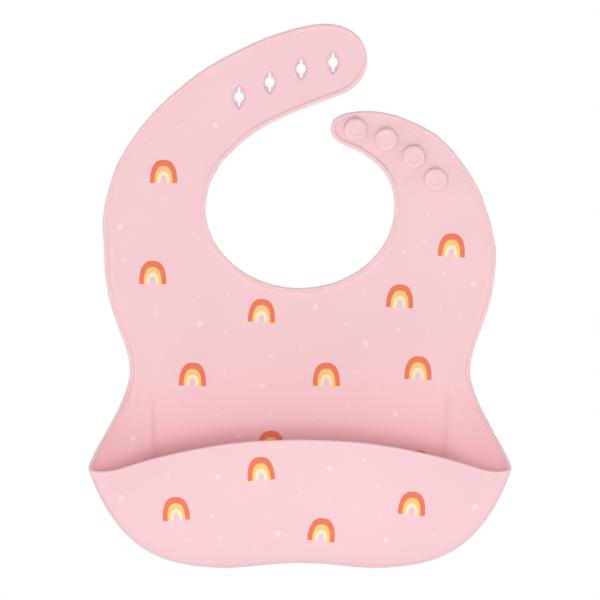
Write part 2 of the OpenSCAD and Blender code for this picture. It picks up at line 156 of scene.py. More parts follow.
def keep_side(path, point, normal):
    """The runs of the path on the normal's side of a line, cut exactly on the line."""
    path = np.array(path, float)
    h = (path - np.array(point)) @ np.array(normal)
    runs, run = [], []
    for i in range(len(path)):
        if h[i] >= 0:
            run.append(path[i])
        if i + 1 < len(path) and (h[i] >= 0) != (h[i + 1] >= 0):
            cut = path[i] + (path[i + 1] - path[i]) * h[i] / (h[i] - h[i + 1])
            if h[i] >= 0:
                runs.append(np.array(run + [cut]))
                run = []
            else:
                run = [cut]
    if len(run) > 1:
        runs.append(np.array(run))
    return runs


def tangents(path):
    t = np.gradient(path, axis=0)
    return t / np.linalg.norm(t, axis=1)[:, None]


def inset(path, d):
    """The path moved sideways by d, to the right of its direction of travel."""
    t = tangents(path)
    return path + d * np.stack([t[:, 1], -t[:, 0]], 1)


# Each loop runs up a side, round the strap and down to the bottom of the neck
# opening; the sheet lies on the right of the left loop.
STEPS = 8
left_side = [(-x, z) for x, z in reversed(SIDE)] + [(-108.6, -10)]
right_side = SIDE[::-1] + [(105, -10)]
left_loop = smooth(left_side + LONG + neck_arc(-1), STEPS)
right_loop = smooth(right_side + SHORT + neck_arc(1), STEPS)
UP = (0, 1)
DOWN = (0, -1)
SEAM = (0, SEAM_Z)
tip_on = np.array([math.sin(TIP_ANGLE), -math.cos(TIP_ANGLE)])    # along the strap, to its end
TIP_LINE = -tip_on * TIP_SEAM

left_arm = keep_side(left_loop, SEAM, UP)[0]
right_arm = keep_side(right_loop, SEAM, UP)[0]
left_outer = keep_side(left_loop, SEAM, DOWN)[0]
left_neck = keep_side(left_loop, SEAM, DOWN)[1]
right_outer = keep_side(right_loop, SEAM, DOWN)[0]
right_neck = keep_side(right_loop, SEAM, DOWN)[1]
tip_arm = keep_side(left_arm, TIP_LINE, tip_on)[0]
root_outer, root_inner = keep_side(left_arm, TIP_LINE, -tip_on)


# ----------------------------------------------------------- trough surface
FINE_STEPS = 12
lip_curve = smooth(LIP_LINE, FINE_STEPS)
side_curve = smooth(SIDE, FINE_STEPS)
edge_inset = keep_side(inset(side_curve, TUCK), (0, JOIN_Z), (0, -1))[0]


def low_z(x):
    """Height of the pocket's lowest line."""
    x = np.abs(x)
    body = np.maximum(1 - (x / CORNER[0]) ** 5, 1e-3) ** 0.87
    rise = np.where(x < 44, (1 - (x / 44) ** 2) ** 2, 0)
    return CORNER[1] + (LOW - CORNER[1]) * body + LOW_RISE * rise


def lip_z(x):
    return LIP_MID + np.interp(np.abs(x), lip_curve[:, 0], lip_curve[:, 1])


def lip_y(x):
    bow = np.sqrt(np.maximum(1 - (x / CORNER[0]) ** 2, 0))
    return -CORNER_REACH - (POCKET_REACH - CORNER_REACH) * bow


def curl_y(z):
    """How far the side edges have curled forward at a height."""
    return -CORNER_REACH * np.clip((JOIN_Z - z) / (JOIN_Z - CORNER[1]), 0, 1) ** 1.5


def top_z(x):
    return np.interp(np.abs(x), edge_inset[:, 0], edge_inset[:, 1], left=JOIN_Z)


def wall_y(x):
    """Depth of the straight part of the back and, beyond the creases, of the side walls."""
    return -CORNER_REACH * np.clip((abs(x) - CREASE) / (CORNER[0] - CREASE), 0, 1) ** 1.2


def bezier(a, b, c, d, t):
    a, b, c, d = (np.array(p, float) for p in (a, b, c, d))
    t = t[:, None]
    return a * (1 - t) ** 3 + 3 * b * t * (1 - t) ** 2 + 3 * c * t * t * (1 - t) + d * t ** 3


# Rows of points in a section: down the straight back, round under it, and up the front.
BACK_ROWS, TURN_ROWS, FRONT_ROWS = 30, 26, 46
LOW_ROW = BACK_ROWS + TURN_ROWS
BACK_SHARE = 0.62           # of a side wall's curve, for the back's rows


def section(x):
    """Points (y, z) of the trough's outer face at x, from the back, under and up to the lip."""
    tuck = smoothstep((abs(x) - 110) / 5)       # into the bead at the corner
    top = (float(curl_y(top_z(x))), float(top_z(x) + tuck))
    low = (min(SWING_Y, float(wall_y(x))), float(low_z(x)))
    lip = (float(lip_y(x)), float(lip_z(x) - LIP_BEAD / 2 + 0.5 * tuck))
    wall = float(wall_y(x))
    height = top[1] - low[1]
    bend = min(FLOOR_BEND, 0.5 * height)
    knee = (wall, low[1] + bend)
    t = np.arange(BACK_ROWS) / BACK_ROWS
    u = np.arange(TURN_ROWS) / TURN_ROWS
    straight = np.array(top) + t[:, None] * (np.array(knee) - np.array(top))
    turn = bezier(knee, (wall, knee[1] - 0.58 * bend),
                  (low[0] + 0.42 * (wall - low[0]), low[1]), low, u)
    flat_back = np.concatenate([straight, turn])
    v = np.concatenate([t * BACK_SHARE, BACK_SHARE + (1 - BACK_SHARE) * u])
    swept = bezier(top, (top[0] + 0.3 * (wall - top[0]), top[1] - 0.38 * height),
                   (low[0] + 0.5 * (wall - low[0]), low[1]), low, v)
    share = smoothstep((abs(x) - CREASE) / PLEAT)
    back = flat_back * (1 - share) + swept * share
    rise = lip[1] - low[1]
    front = bezier(low, (low[0] + 0.72 * (lip[0] - low[0]), low[1]),
                   (lip[0] - 0.5, low[1] + 0.42 * rise), lip, np.linspace(0, 1, FRONT_ROWS + 1))
    return np.concatenate([back, front])


def stations():
    """The x of each section, close together at the creases and the corners."""
    inner = np.arange(-75, 76, 3.0)
    fold = CREASE + np.array([-3.2, -2.2, -1.5, -0.7, 0, 0.7, 1.4, 2.2, 3, 4, 5.2, 6.5, 8, 9.5])
    outer = CREASE + 9.5 + (TROUGH_END - CREASE - 9.5) * np.sin(np.radians(np.arange(9, 91, 4.5)))
    half = np.sort(np.concatenate([fold, outer, edge_inset[:1, 0]]))
    return np.concatenate([-half[::-1], inner, half])


def fold_bulge(x, z):
    """How far the soft fold beside the crease stands out to the front."""
    x = np.abs(x)
    rib = FOLD_RIB * np.exp(-((x - CREASE - 3) / 1.7) ** 2)
    groove = FOLD_GROOVE * np.exp(-((x - CREASE + 0.5) / 1.3) ** 2)
    return (rib - groove) * smoothstep((JOIN_Z - 2 - z) / 16) * smoothstep((z - LOW - 12) / 20)


def surface_normals(grid):
    du = np.gradient(grid, axis=0, edge_order=2)
    dv = np.gradient(grid, axis=1, edge_order=2)
    n = np.cross(du, dv)
    return n / np.maximum(np.linalg.norm(n, axis=2), 1e-9)[..., None]


CAP_TURNS = np.radians([25, 50, 70, 90])     # the rings of a rounded end


def outward_normals(grid):
    """The trough's normals, turned so that those of its back point backwards."""
    n = surface_normals(grid)
    return n if n[len(n) // 2, 2, 1] >= 0 else -n


def closed_ends(grid):
    """The grid with a rounded end on each side that gathers it in the bead's heart."""
    ends = []
    for side, column in ((-1, grid[0]), (1, grid[-1])):
        heart = np.array([side * TROUGH_END, *CORNER_HEART])
        caps = []
        for a in CAP_TURNS:
            cap = heart + (column - heart) * math.cos(a)
            cap[:, 0] += side * CAP_DEPTH * math.sin(a)
            caps.append(cap)
        ends.append(caps)
    return np.concatenate([ends[0][::-1], grid, ends[1]])


outer_grid = np.array([[(x, y, z) for y, z in section(x)] for x in stations()])
back_half = outer_grid[:, :LOW_ROW]
back_half[:, :, 1] -= fold_bulge(back_half[:, :, 0], back_half[:, :, 2])
outer_normal = outward_normals(outer_grid)
depth = np.abs(outer_grid[:, 0, 1] - outer_grid[:, -1, 1])
reach = np.minimum(SHEET, 0.22 * depth + 0.25)       # thinner where the corner closes up
inner_grid = outer_grid - outer_normal * reach[:, None, None]
inner_grid[:, :, 0] = np.clip(inner_grid[:, :, 0], -TROUGH_END, TROUGH_END)
outer_grid, inner_grid = closed_ends(outer_grid), closed_ends(inner_grid)
XS = outer_grid[:, 0, 0]
outer_normal = outward_normals(outer_grid)
outer_normal[0], outer_normal[-1] = (-1, 0, 0), (1, 0, 0)
inner_normal = -outer_normal


# ------------------------------------------------------------- mesh building
def make(name, verts, faces, normals, finish):
    """A mesh in metres from points in mm. normals holds one vector for each face corner."""
    key, index, remap = {}, [], []
    for p in np.round(np.array(verts, float), 4):
        k = tuple(p)
        if k not in key:
            key[k] = len(index)
            index.append(p)
        remap.append(key[k])
    kept_faces, kept_normals = [], []
    for f, ns in zip(faces, normals):
        g, h = [], []
        for i, n in zip(f, ns):
            if not g or (remap[i] != g[-1] and remap[i] != g[0]):
                g.append(remap[i])
                h.append(n)
        if len(set(g)) == len(g) and len(g) > 2:
            kept_faces.append(g)
            kept_normals.extend(h)
    mesh = bpy.data.meshes.new(name + "_form")
    mesh.from_pydata([tuple(c * MM for c in p) for p in index], [], kept_faces)
    mesh.update()
    for polygon in mesh.polygons:
        polygon.use_smooth = True
    mesh.normals_split_custom_set([tuple(map(float, n)) for n in kept_normals])
    mesh.materials.append(finish)
    obj = bpy.data.objects.new(name + "_form", mesh)
    bpy.context.scene.collection.objects.link(obj)
    return obj


class Patches:
    """Collects patches of faces, each with its own smooth normals."""

    def __init__(self):
        self.verts, self.faces, self.normals = [], [], []

    def grid(self, points, normals, flip):
        rows, cols = points.shape[:2]
        base = len(self.verts)
        self.verts.extend(points.reshape(-1, 3))
        flat = normals.reshape(-1, 3)
        for i in range(rows - 1):
            for j in range(cols - 1):
                q = [i * cols + j, (i + 1) * cols + j, (i + 1) * cols + j + 1, i * cols + j + 1]
                if flip:
                    q = q[::-1]
                self.faces.append([base + k for k in q])
                self.normals.append([flat[k] for k in q])

    def strip(self, a, b):
        """A flat-shaded wall between two lines of points."""
        pts = np.stack([a, b])
        base = len(self.verts)
        self.verts.extend(pts.reshape(-1, 3))
        m = len(a)
        for j in range(m - 1):
            q = [j, j + 1, m + j + 1, m + j]
            p = [pts.reshape(-1, 3)[k] for k in q]
            w = np.cross(p[2] - p[0], p[3] - p[1])
            w = w / max(np.linalg.norm(w), 1e-9)
            self.faces.append([base + k for k in q])
            self.normals.append([w] * 4)

    def add(self, verts, faces, normals):
        base = len(self.verts)
        self.verts.extend(verts)
        for f, ns in zip(faces, normals):
            self.faces.append([base + k for k in f])
            self.normals.append(ns)

    def build(self, name, finish):
        return make(name, self.verts, self.faces, self.normals, finish)


def trough_piece(name, cols, rows):
    """A closed piece of the trough between two column and two row numbers."""
    c, r = slice(cols[0], cols[1] + 1), slice(rows[0], rows[1] + 1)
    o, i = outer_grid[c, r], inner_grid[c, r]
    p = Patches()
    p.grid(o, outer_normal[c, r], False)
    p.grid(i, inner_normal[c, r], True)
    p.strip(i[:, 0], o[:, 0])
    p.strip(o[:, -1], i[:, -1])
    p.strip(o[0], i[0])
    p.strip(i[-1], o[-1])
    stands_for(p.build(name, PINK), "pocket", name)


def inside(points, loops):
    """Even-odd test of 2D points against closed loops."""
    hit = np.zeros(len(points), bool)
    for loop in loops:
        a = np.array(loop)
        b = np.roll(a, -1, axis=0)
        for (x0, z0), (x1, z1) in zip(a, b):
            cross = (z0 > points[:, 1]) != (z1 > points[:, 1])
            with np.errstate(divide="ignore", invalid="ignore"):
                at = x0 + (points[:, 1] - z0) * (x1 - x0) / (z1 - z0)
            hit ^= cross & (points[:, 0] < at)
    return hit


def fill(loops, spacing):
    """Triangles that fill flat loops, with evenly spread points inside them."""
    points, edges = [], []
    for loop in loops:
        base = len(points)
        points.extend(tuple(p) for p in loop)
        edges.extend((base + k, base + (k + 1) % len(loop)) for k in range(len(loop)))
    border = np.array(points)
    low, high = border.min(0), border.max(0)
    xs = np.arange(low[0] + spacing / 2, high[0], spacing)
    zs = np.arange(low[1] + spacing / 2, high[1], spacing * 0.87)
    inner = np.array([(x + (k % 2) * spacing / 2, z) for k, z in enumerate(zs) for x in xs])
    if len(inner):
        inner = inner[inside(inner, loops)]
    if len(inner):
        gap = np.min([np.linalg.norm(inner - p, axis=1) for p in border], axis=0)
        inner = inner[gap > INSIDE_MARGIN * spacing]
        points.extend(tuple(p) for p in inner)
    flat_points = [Vector(p) for p in points]
    made, _, faces, source, *_ = geometry.delaunay_2d_cdt(flat_points, edges, [], 1, 1e-5)
    verts = np.array([points[k[0]] if k else tuple(v) for v, k in zip(made, source)])
    faces = np.array([list(f) for f in faces])
    if len(loops) > 1:
        faces = faces[~inside(verts[faces].mean(axis=1), loops[1:])]
    return verts, faces


def sheet_piece(name, loops, front, back, finish, spacing):
    """A closed sheet over flat loops. front and back give y for arrays of x and z."""
    verts, faces = fill(loops, spacing)
    x, z = verts[:, 0], verts[:, 1]
    p = Patches()
    for height, sign in ((front, -1), (back, 1)):
        y = height(x, z)
        n = np.zeros((len(x), 3))
        e = 0.05                    # mm either way, to find the slope
        n[:, 0] = -(height(x + e, z) - height(x - e, z)) / (2 * e)
        n[:, 2] = -(height(x, z + e) - height(x, z - e)) / (2 * e)
        n[:, 1] = 1
        n *= sign / np.linalg.norm(n, axis=1)[:, None]
        pts = np.stack([x, y, z], 1)
        out_faces, out_normals = [], []
        for f in faces:
            a, b, c = pts[f]
            f = list(f) if np.cross(b - a, c - a) @ n[f[0]] > 0 else list(f)[::-1]
            out_faces.append(f)
            out_normals.append([n[k] for k in f])
        p.add(list(pts), out_faces, out_normals)
    for loop in loops:
        ring = np.array(list(loop) + [loop[0]])
        a = np.stack([ring[:, 0], front(ring[:, 0], ring[:, 1]), ring[:, 1]], 1)
        b = np.stack([ring[:, 0], back(ring[:, 0], ring[:, 1]), ring[:, 1]], 1)
        turn = np.sum(ring[:-1, 0] * ring[1:, 1] - ring[1:, 0] * ring[:-1, 1])
        is_hole = loop is not loops[0]
        if (turn > 0) != is_hole:
            a, b = b, a
        p.strip(a, b)
    return p.build(name, finish)


def flat(y):
    """A height function of the same y everywhere."""
    return lambda x, z: np.full(np.shape(x), y, float)


BEAD_SIDES = 20


def sweep(centre, inward, front, radius, along):
    """A closed round bead round a line of centres. inward and front are unit frames."""
    p = Patches()
    a = np.linspace(0, 2 * math.pi, BEAD_SIDES + 1)
    ring_dir = (inward[:, None, :] * np.cos(a)[None, :, None]
                + front[:, None, :] * np.sin(a)[None, :, None])
    points = centre[:, None, :] + ring_dir * radius[:, None, None]
    t = along / np.linalg.norm(along, axis=1)[:, None]
    handed = np.sum(np.cross(inward, front) * t, axis=1).mean() > 0
    p.grid(points, ring_dir, flip=handed)
    for k, end in ((0, -1), (-1, 1)):
        ring = points[k, :-1]
        order = list(range(BEAD_SIDES))
        w = np.cross(ring[1] - ring[0], ring[2] - ring[0])
        if (w @ t[k]) * end < 0:
            order = order[::-1]
        p.add(list(ring), [order], [[t[k] * end] * BEAD_SIDES])
    return p


def flat_bead(name, paths, side):
    """One object holding a bead inside each flat edge path."""
    whole = Patches()
    for path in paths:
        path = spaced(path, BEAD_STEP)
        t = tangents(path)
        zero = np.zeros(len(t))
        inward = side * np.stack([t[:, 1], zero, -t[:, 0]], 1)
        front = np.tile([0.0, -1.0, 0.0], (len(t), 1))
        centre = np.stack([path[:, 0], zero, path[:, 1]], 1) + (inward + front) * BEAD / 2
        part = sweep(centre, inward, front, np.full(len(t), BEAD / 2), np.gradient(centre, axis=0))
        whole.add(part.verts, part.faces, part.normals)
    return whole.build(name, RIM_PINK)


# ---------------------------------------------------------------- materials
# Painted shade: ambient occlusion picks a tint that multiplies the colour, darker and richer where
# the neighbours close round, and in the pocket a painted warm glow where it is half open. Each
# tint goes with a share of open surroundings.
POCKET_SHADE_AND_GLOW = [(0.05, (0.92, 0.40, 0.42)), (0.3, (1.03, 0.60, 0.62)), (0.6, (1.15, 1.03, 1.03)),
             (0.85, (1.10, 1.10, 1.09)), (0.98, (1.0, 1.0, 1.0))]
STRAP_PAINTED_SHADE = [(0.1, (0.75, 0.56, 0.58)), (0.5, (1.0, 0.98, 0.98)), (0.6, (1.0, 1.0, 1.0))]


def paint_occlusion_shade(nodes, links, colour_out, reach, tones):
    """Paints shade into a colour by ambient occlusion: darker and richer in hollows. reach is how
    far the surroundings count.
    """
    open_sky = nodes.new("ShaderNodeAmbientOcclusion")
    open_sky.inputs["Distance"].default_value = reach
    open_sky.samples = 8
    tint = nodes.new("ShaderNodeMixRGB")
    tint.blend_type = "MULTIPLY"
    tint.inputs["Fac"].default_value = 1.0
    shade = nodes.new("ShaderNodeValToRGB")
    steps = shade.color_ramp.elements
    while len(steps) < len(tones):
        steps.new(0.5)
    for step, (at, tone) in zip(steps, tones):
        step.position = at
        step.color = (*tone, 1)
    links.new(open_sky.outputs["AO"], shade.inputs["Fac"])
    links.new(colour_out, tint.inputs["Color1"])
    links.new(shade.outputs["Color"], tint.inputs["Color2"])
    return tint.outputs["Color"]


def material(name, colour, roughness, grain, mottle, sheen=0.0, shade_paint=None):
    """A procedural moulded finish: faint mottling, uneven roughness and a fine grain, and, when
    asked, shade painted into the colour by ambient occlusion.
    """
    m = bpy.data.materials.new(name)
    m.use_nodes = True
    nodes, links = m.node_tree.nodes, m.node_tree.links
    shader = nodes["Principled BSDF"]
    place = nodes.new("ShaderNodeTexCoord")
    cloud = nodes.new("ShaderNodeTexNoise")
    cloud.inputs["Scale"].default_value = 22
    cloud.inputs["Detail"].default_value = 4
    links.new(place.outputs["Object"], cloud.inputs["Vector"])
    ramp = nodes.new("ShaderNodeValToRGB")
    low = [c * (1 - mottle) for c in colour]
    high = [min(1, c * (1 + mottle)) for c in colour]
    ramp.color_ramp.elements[0].position = 0.3
    ramp.color_ramp.elements[1].position = 0.7
    ramp.color_ramp.elements[0].color = (*low, 1)
    ramp.color_ramp.elements[1].color = (*high, 1)
    links.new(cloud.outputs["Fac"], ramp.inputs["Fac"])
    tone = ramp.outputs["Color"]
    # Painted shade and glow: the occlusion tint multiplies the base colour.
    if shade_paint:
        tone = paint_occlusion_shade(nodes, links, tone, *shade_paint)
    links.new(tone, shader.inputs["Base Color"])
    rough = nodes.new("ShaderNodeMapRange")
    rough.inputs["To Min"].default_value = roughness - 0.05
    rough.inputs["To Max"].default_value = roughness + 0.05
    smudge = nodes.new("ShaderNodeTexNoise")
    smudge.inputs["Scale"].default_value = 70
    smudge.inputs["Detail"].default_value = 5
    links.new(place.outputs["Object"], smudge.inputs["Vector"])
    links.new(smudge.outputs["Fac"], rough.inputs["Value"])
    links.new(rough.outputs["Result"], shader.inputs["Roughness"])
    fine = nodes.new("ShaderNodeTexNoise")
    fine.inputs["Scale"].default_value = 2600
    fine.inputs["Detail"].default_value = 3
    links.new(place.outputs["Object"], fine.inputs["Vector"])
    bump = nodes.new("ShaderNodeBump")
    bump.inputs["Strength"].default_value = grain
    bump.inputs["Distance"].default_value = 0.0002
    links.new(fine.outputs["Fac"], bump.inputs["Height"])
    links.new(bump.outputs["Normal"], shader.inputs["Normal"])
    shader.inputs["Specular IOR Level"].default_value = 0.35
    if sheen:
        shader.inputs["Sheen Weight"].default_value = sheen
        shader.inputs["Sheen Roughness"].default_value = 0.5
    return m


# Painted shade and glow: occlusion reach in metres and the tints it picks, for the pocket and for
# the straps.
POCKET_SHADE_PAINT = (0.08, POCKET_SHADE_AND_GLOW)       # reach in metres, and tints
STRAP_SHADE_PAINT = (0.006, STRAP_PAINTED_SHADE)
# Painted shade: PINK darkens and warms in the pocket's hollows and glows where it is half open;
# STRAP_PINK and RIM_PINK darken in grooves and round the studs.
PINK = material("silicone_pink", (0.88, 0.575, 0.61), 0.55, 0.12, 0.012, 0.05, POCKET_SHADE_PAINT)
STRAP_PINK = material("silicone_strap", (0.88, 0.575, 0.61), 0.55, 0.12, 0.012, 0.05, STRAP_SHADE_PAINT)
# Painted shade: the eyelet web is a darker, greyer copy of the pink that stands in for the shade
# in its recess.
WEB_SHADED_PINK = material("silicone_web_shaded", (0.78, 0.53, 0.57), 0.50, 0.10, 0.012, 0.5)
RIM_PINK = material("silicone_rim", (0.88, 0.58, 0.61), 0.50, 0.10, 0.012, 0.7, STRAP_SHADE_PAINT)
INK_LOOKS = {
    "orange": ((0.83, 0.188, 0.09), 0.04),
    "yellow": ((0.93, 0.58, 0.20), 0.04),
    "cream": ((0.93, 0.79, 0.56), 0.03),
    "lilac": ((0.82, 0.57, 0.66), 0.03),
    "white": ((0.95, 0.73, 0.75), 0.02),
}
# The inks carry the pocket's painted shade and glow.
INKS = {ink: material("ink_" + ink, colour, 0.62, 0.15, mottle, shade_paint=POCKET_SHADE_PAINT)
        for ink, (colour, mottle) in INK_LOOKS.items()}


def bend_with(obj, how):
    """Fastens a panel piece to the panel's body; any other piece gets its transform baked into its
    mesh.
    """
    if how == "panel":
        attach(obj, "panel")
    elif how == "pocket":
        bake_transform(obj)
    elif how == "tip":
        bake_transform(obj)
    else:
        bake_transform(obj)


def stands_for(obj, how, node):
    """Passes a piece to bend_with and hides the CAD node that it shows."""
    bend_with(obj, how)
    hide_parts(node)


# ------------------------------------------------------------- flat sheets
def tucked_edge(path, d):
    """Points along a sheet's edge, which lies inside the bead."""
    return spaced(inset(path, d), EDGE_STEP)


def seam_points(a, b):
    """Evenly spread points strictly between a and b."""
    a, b = np.array(a, float), np.array(b, float)
    n = max(2, round(np.linalg.norm(b - a) / SEAM_STEP))
    return np.array([a + (b - a) * k / n for k in range(1, n)])


def flat_sheet(name, loops, finish, how, spacing):
    """A piece of the flat sheet, with its back in y = 0."""
    piece = sheet_piece(name, loops, flat(-SHEET), flat(0), finish, spacing)
    stands_for(piece, how, name)


left_wall = spaced(keep_side(inset(left_outer, TUCK), (0, JOIN_Z), UP)[0], EDGE_STEP)
right_wall = spaced(keep_side(inset(right_outer, -TUCK), (0, JOIN_Z), UP)[0], EDGE_STEP)
neck_left_in, neck_right_in = tucked_edge(left_neck, TUCK), tucked_edge(right_neck, -TUCK)
left_wall[-1, 1] = right_wall[-1, 1] = SEAM_Z
neck_left_in[0, 1] = neck_right_in[0, 1] = SEAM_Z
neck_left_in[-1] = neck_right_in[-1] = (0, -NECK_B - TUCK)
waist = outer_grid[(outer_grid[:, 0, 2] >= JOIN_Z - 1e-6)][:, 0][:, [0, 2]]
waist = waist[np.abs(waist[:, 0]) < right_wall[0, 0] - 0.5]
panel_loop = np.concatenate([
    left_wall, seam_points(left_wall[-1], neck_left_in[0]), neck_left_in,
    neck_right_in[::-1][1:], seam_points(neck_right_in[0], right_wall[-1]), right_wall[::-1],
    waist[::-1],
])
flat_sheet("bib_panel", [panel_loop], PINK, "panel", BROAD)

EYE_WIDTH, EYE_HEIGHT, EYE_POINTS = 7.0, 13.6, 96


def eye_outline():
    """The pointed oval round a button hole, as angles and distances from its middle."""
    r = (EYE_WIDTH ** 2 + EYE_HEIGHT ** 2) / (4 * EYE_WIDTH)
    c = r - EYE_WIDTH / 2
    f = np.arange(EYE_POINTS) / EYE_POINTS * 2 * math.pi
    a = f + 0.3 * np.sin(2 * f)
    rho = -c * np.abs(np.cos(a)) + np.sqrt(r * r - (c * np.sin(a)) ** 2)
    return a, rho


def strap_holes():
    a, rho = eye_outline()
    return [np.stack([x + rho * np.cos(a), z + rho * np.sin(a)], 1) for x, z in EYELETS]


outer_in, inner_in = tucked_edge(root_outer, TUCK), tucked_edge(root_inner, TUCK)
outer_in[0, 1] = inner_in[-1, 1] = SEAM_Z
root_loop = np.concatenate([outer_in, seam_points(outer_in[-1], inner_in[0]), inner_in,
                            seam_points(inner_in[-1], outer_in[0])])
flat_sheet("long_strap_root", [root_loop], STRAP_PINK, "long_strap", MEDIUM)

tip_in = tucked_edge(tip_arm, TUCK)
tip_in[0], tip_in[-1] = outer_in[-1], inner_in[0]
tip_loop = np.concatenate([tip_in, seam_points(inner_in[0], outer_in[-1])])
flat_sheet("long_strap_tip", [tip_loop] + strap_holes(), STRAP_PINK, "tip", MEDIUM)

right_in = tucked_edge(right_arm, -TUCK)
right_in[0, 1] = right_in[-1, 1] = SEAM_Z
short_loop = np.concatenate([right_in, seam_points(right_in[-1], right_in[0])])
flat_sheet("short_strap", [short_loop], STRAP_PINK, "short_strap", FINE)

# -------------------------------------------------------------------- beads
neck_path = np.concatenate([left_neck, right_neck[::-1][1:]])
FLAT_BEADS = [
    ("neck_rim", [neck_path], 1, "panel"),
    ("long_strap_root_rim", [root_outer, root_inner], 1, "long_strap"),
    ("long_strap_tip_rim", [tip_arm], 1, "tip"),
    ("short_strap_rim", [right_arm], -1, "short_strap"),
]
for name, paths, side, how in FLAT_BEADS:
    stands_for(flat_bead(name, paths, side), how, name)


TURN_IN = 30.0              # height over which the side bead turns towards the crease


def side_bead_centre(side):
    """Centre of the side bead from the strap seam down to the pocket's corner."""
    flat_part = spaced(right_outer if side > 0 else left_outer, BEAD_STEP)[::-1]
    path = np.stack([flat_part[:, 0], curl_y(flat_part[:, 1]), flat_part[:, 1]], 1)
    t = tangents(path)
    aim = np.stack([side * CREASE - path[:, 0], -path[:, 1], np.zeros(len(path))], 1)
    flat_aim = np.tile([-side, 0.0, 0.0], (len(path), 1))
    share = smoothstep((JOIN_Z + TURN_IN - path[:, 2]) / TURN_IN)[:, None]
    aim = flat_aim * (1 - share) + share * aim / np.linalg.norm(aim, axis=1)[:, None]
    inward = aim - np.sum(aim * t, axis=1)[:, None] * t
    inward /= np.linalg.norm(inward, axis=1)[:, None]
    front = np.cross(inward, t)
    front *= np.where(front[:, 1] > 0, -1, 1)[:, None]
    return path + (inward + front) * BEAD / 2


def transported(path, first_dir):
    """A direction carried along the path without twisting, from first_dir."""
    t = tangents(path)
    out = [np.array(first_dir, float)]
    for k in range(1, len(path)):
        d = out[-1] - (out[-1] @ t[k]) * t[k]
        out.append(d / np.linalg.norm(d))
    return np.array(out), t


CORNER_FROM_Z, CORNER_TO_X = -137.0, 109.0
lip_x = np.linspace(-CORNER_TO_X, CORNER_TO_X, 141)
lip_centre = np.stack([lip_x, lip_y(lip_x) + SHEET / 2, lip_z(lip_x) - LIP_BEAD / 2], 1)
left_centre = side_bead_centre(-1)
left_centre = left_centre[left_centre[:, 2] > CORNER_FROM_Z]
right_centre = side_bead_centre(1)
right_centre = right_centre[right_centre[:, 2] > CORNER_FROM_Z][::-1]
CORNER_POINTS = 17


def corner_curve(start, start_dir, stop, stop_dir):
    """A smooth turn from one bead's end to the next bead's start."""
    handle = 0.62 * np.linalg.norm(stop - start)
    t = np.arange(1, CORNER_POINTS) / CORNER_POINTS
    return bezier(start, start + handle * start_dir, stop - handle * stop_dir, stop, t)


lip_tangent = tangents(lip_centre)
left_tangent, right_tangent = tangents(left_centre), tangents(right_centre)
left_turn = corner_curve(left_centre[-1], left_tangent[-1], lip_centre[0], lip_tangent[0])
right_turn = corner_curve(lip_centre[-1], lip_tangent[-1], right_centre[0], right_tangent[0])
mouth = np.concatenate([left_centre, left_turn, lip_centre, right_turn, right_centre])
mid_turn = (CORNER_POINTS - 1) // 2
split_left = len(left_centre) + mid_turn
split_right = len(left_centre) + len(left_turn) + len(lip_centre) + mid_turn
THINNING = 24.0             # height over which the bead thins towards the lip
thinned = smoothstep((JOIN_Z - mouth[:, 2]) / THINNING)
mouth_radius = BEAD / 2 + (LIP_BEAD - BEAD) / 2 * thinned
mouth_in, mouth_t = transported(mouth, (1, 0, 0))
mouth_in[0] -= (mouth_in[0] @ mouth_t[0]) * mouth_t[0]
mouth_front = np.cross(mouth_in, mouth_t)


def mouth_piece(name, start, stop, finish):
    """The stretch of the pocket's mouth bead between two point numbers."""
    cut = slice(start, stop + 1)
    bead = sweep(mouth[cut], mouth_in[cut], mouth_front[cut], mouth_radius[cut], mouth_t[cut])
    stands_for(bead.build(name, finish), "pocket", name)


mouth_piece("left_side_rim", 0, split_left, RIM_PINK)
mouth_piece("pocket_lip", split_left, split_right, PINK)
mouth_piece("right_side_rim", split_right, len(mouth) - 1, RIM_PINK)

# ------------------------------------------------------------------- trough
first = int(np.argmin(np.abs(XS + CREASE)))
last = int(np.argmin(np.abs(XS - CREASE)))
end = len(XS) - 1
lip_row = outer_grid.shape[1] - 1
trough_piece("pocket_floor", (first, last), (0, LOW_ROW))
trough_piece("left_gusset", (0, first), (0, LOW_ROW))
trough_piece("right_gusset", (last, end), (0, LOW_ROW))
trough_piece("pocket_front", (0, end), (LOW_ROW, lip_row))


# ------------------------------------------------------------ eyelets, studs
HOLE_R = 2.6                # radius of a button hole
SLIT_ROOT, SLIT_END, SLIT_REACH = 0.9, 0.4, 5.3     # half widths, and half height


